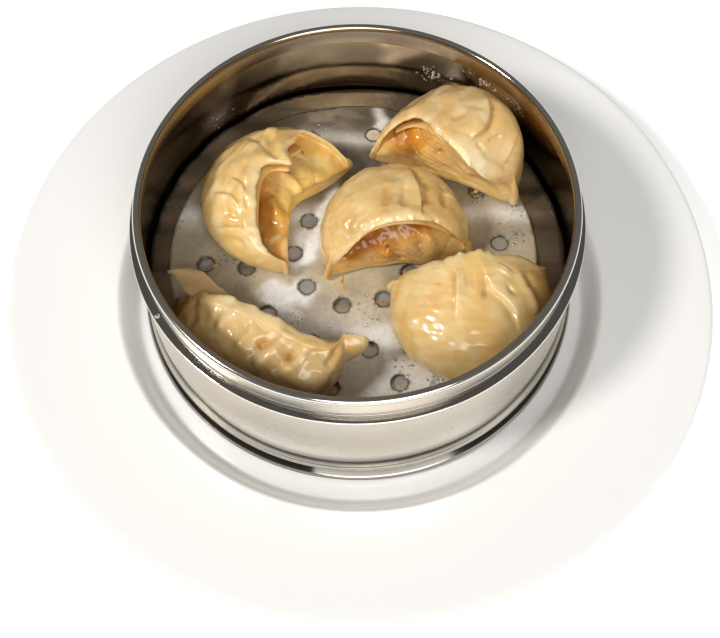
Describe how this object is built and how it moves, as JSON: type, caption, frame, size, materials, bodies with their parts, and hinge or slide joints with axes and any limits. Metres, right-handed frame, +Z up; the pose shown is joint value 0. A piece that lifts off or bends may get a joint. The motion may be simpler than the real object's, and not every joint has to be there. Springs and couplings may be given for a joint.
{
  "type": "plate of jiaozi",
  "caption": "Pleated jiaozi with a wet golden dough skin on perforated paper, in a round stainless steamer basket standing on a white wide-rimmed plate.",
  "frame": {"origin": "middle of the plate's foot ring, on the surface the plate stands on", "axes": "+Z up out of the plate, +X to the viewer's right, +Y away from the viewer"},
  "size_m": [0.3, 0.3, 0.0736],
  "materials": {
    "glaze": "white gloss glaze",
    "steel": "brushed stainless steel with a bright rolled rim",
    "floor steel": "wet pressed stainless steel",
    "wet paper": "wet translucent baking paper",
    "dough": "steamed dough, wet and glossy",
    "filling": "cooked filling seen in the mouth of a jiaozi, oily"
  },
  "bodies": {
    "root": {"plate": "glaze", "basket_wall": "steel", "basket_floor": "floor steel", "paper_liner": "wet paper", "left_wrapper": "dough", "left_filling": "filling", "centre_wrapper": "dough", "centre_filling": "filling", "upper_right_wrapper": "dough", "upper_right_filling": "filling", "lower_right_jiaozi": "dough", "lower_left_jiaozi": "dough"}
  },
  "joints": []
}
